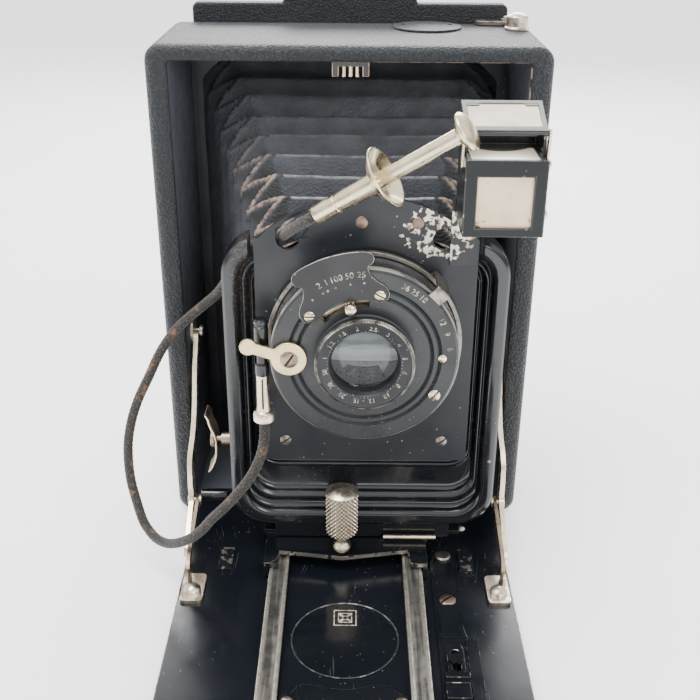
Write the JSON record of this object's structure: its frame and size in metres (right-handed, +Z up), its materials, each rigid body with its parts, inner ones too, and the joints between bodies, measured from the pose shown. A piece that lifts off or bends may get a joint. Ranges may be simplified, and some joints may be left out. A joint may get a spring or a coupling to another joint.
{
  "type": "folding camera",
  "caption": "Folding plate camera opened on its drop bed: leather case, bellows, sliding lens standard, round shutter, brilliant finder and braided cable release.",
  "frame": {"origin": "centre of the tripod bush's mouth in the underside of the drop bed", "axes": "+Z up, +Y to the camera's rear, +X to the right as seen from in front; the lens looks along -Y"},
  "size_m": [0.1326, 0.2112, 0.173],
  "materials": {
    "case_leather": "pebbled leather, satin",
    "black_lacquer": "gloss black stove enamel",
    "matt_black": "semi-matt black",
    "nickel": "aged nickel plate",
    "brass": "aged brass",
    "gunmetal": "worn blackened steel",
    "glass": "polished",
    "ground_glass": "ground",
    "bellows_leather": "thin matt leather",
    "cord_cloth": "braided cotton",
    "case_wood": "black stained wood"
  },
  "bodies": {
    "case": {"case_shell": "case_leather", "rear_panel": "case_wood", "back_guides": "black_lacquer", "bed_board": "case_leather", "bed_liner": "black_lacquer", "tripod_bush": "brass", "hinge_knuckles": "gunmetal", "hinge_pin": "nickel", "rails": "gunmetal", "oval_plate": "black_lacquer", "front_stop_plate": "black_lacquer", "stop_base": "black_lacquer", "scale_strip": "gunmetal", "bed_screws": "brass", "strut_brackets": "nickel", "strut_links": "nickel", "strut_arms": "nickel", "strut_pins": "gunmetal", "door_catch_plate": "brass", "door_catch_springs": "brass", "top_cover_plate": "case_leather", "back_catch_post": "nickel", "bellows_rear_frame": "case_wood", "bellows": "bellows_leather"},
    "sliding_back": {"back_frame": "case_leather", "ground_glass": "ground_glass", "hood_walls": "case_leather", "hood_lid_pin": "nickel"},
    "focusing_lid": {"hood_lid": "case_leather"},
    "back_catch": {"back_catch_arm": "gunmetal"},
    "bed_stop": {"infinity_stop": "black_lacquer"},
    "carriage": {"carriage": "black_lacquer", "cross_rod": "nickel"},
    "clamp_knob": {"clamp_knob": "nickel"},
    "standard": {"standard_frame": "black_lacquer", "standard_foot": "black_lacquer"},
    "rise_lever": {"rise_lever": "nickel"},
    "lens_front": {"lens_board": "matt_black", "board_screws": "brass", "shutter_case": "black_lacquer", "shutter_cover": "matt_black", "shutter_blades": "gunmetal", "iris_blades": "gunmetal", "speed_plate": "matt_black", "front_cell": "matt_black", "lens_glasses": "glass", "rear_cell": "matt_black", "cable_socket": "nickel", "release_cord": "cord_cloth", "plunger_tube": "nickel", "finger_dish": "nickel", "finder_bracket": "matt_black"},
    "speed_setting": {"speed_ring": "nickel"},
    "aperture_setting": {"aperture_pointer": "gunmetal"},
    "release_lever": {"release_lever": "nickel"},
    "plunger": {"plunger_rod": "nickel"},
    "finder": {"finder_box": "black_lacquer", "finder_glasses": "glass", "finder_hood_arms": "nickel"},
    "finder_hood": {"finder_hood": "black_lacquer"}
  },
  "joints": [
    {"name": "focus_slide", "type": "slide", "parent": "case", "child": "carriage", "axis": [0, -1, 0], "range_m": [0, 0.09], "deforming": ["bellows"]},
    {"name": "cross_shift", "type": "slide", "parent": "carriage", "child": "standard", "axis": [-1, 0, 0], "range_m": [0, 0.0084]},
    {"name": "front_rise", "type": "slide", "parent": "standard", "child": "lens_front", "axis": [0, 0, 1], "range_m": [-0.001, 0.008]},
    {"name": "knob_turn", "type": "hinge", "parent": "carriage", "child": "clamp_knob", "pos_m": [-0.0013, -0.013, 0.02], "axis": [0, 0, 1], "range_deg": [-90, 20]},
    {"name": "rise_lever_swing", "type": "hinge", "parent": "standard", "child": "rise_lever", "pos_m": [-0.0402, -0.0015, 0.046], "axis": [1, 0, 0], "range_deg": [0, 18]},
    {"name": "speed_turn", "type": "hinge", "parent": "lens_front", "child": "speed_setting", "pos_m": [0.005, -0.016, 0.0835], "axis": [0, 1, 0], "range_deg": [-28, 14]},
    {"name": "aperture_turn", "type": "hinge", "parent": "lens_front", "child": "aperture_setting", "pos_m": [0.005, -0.01, 0.0835], "axis": [0, 1, 0], "range_deg": [-18, 38]},
    {"name": "plunger_press", "type": "slide", "parent": "lens_front", "child": "plunger", "axis": [-0.8064, 0.2366, -0.5419], "range_m": [0, 0.006], "stiffness_N_per_m": 200, "springref_m": -0.002},
    {"name": "release_turn", "type": "hinge", "parent": "lens_front", "child": "release_lever", "pos_m": [-0.0163, -0.0205, 0.0836], "axis": [0, 1, 0], "range_deg": [0, 14]},
    {"name": "finder_swing", "type": "hinge", "parent": "lens_front", "child": "finder", "pos_m": [0.0332, -0.016, 0.1252], "axis": [0, 1, 0], "range_deg": [0, 90]},
    {"name": "finder_hood_fold", "type": "hinge", "parent": "finder", "child": "finder_hood", "pos_m": [0.0402, -0.0211, 0.1482], "axis": [1, 0, 0], "range_deg": [-20, 70]},
    {"name": "stop_slide", "type": "slide", "parent": "case", "child": "bed_stop", "axis": [0, 1, 0], "range_m": [-0.003, 0.003]},
    {"name": "catch_turn", "type": "hinge", "parent": "case", "child": "back_catch", "pos_m": [0.051, 0.0675, 0.163], "axis": [0, 0, 1], "range_deg": [0, 40]},
    {"name": "back_slide", "type": "slide", "parent": "case", "child": "sliding_back", "axis": [0, 0, 1], "range_m": [0, 0.15]},
    {"name": "lid_fold", "type": "hinge", "parent": "sliding_back", "child": "focusing_lid", "pos_m": [0, 0.0826, 0.147], "axis": [1, 0, 0], "range_deg": [0, 95]}
  ],
  "couplings": [
    {"joint": "release_turn", "follows": "plunger_press", "rad_per_m": 40.317}
  ]
}
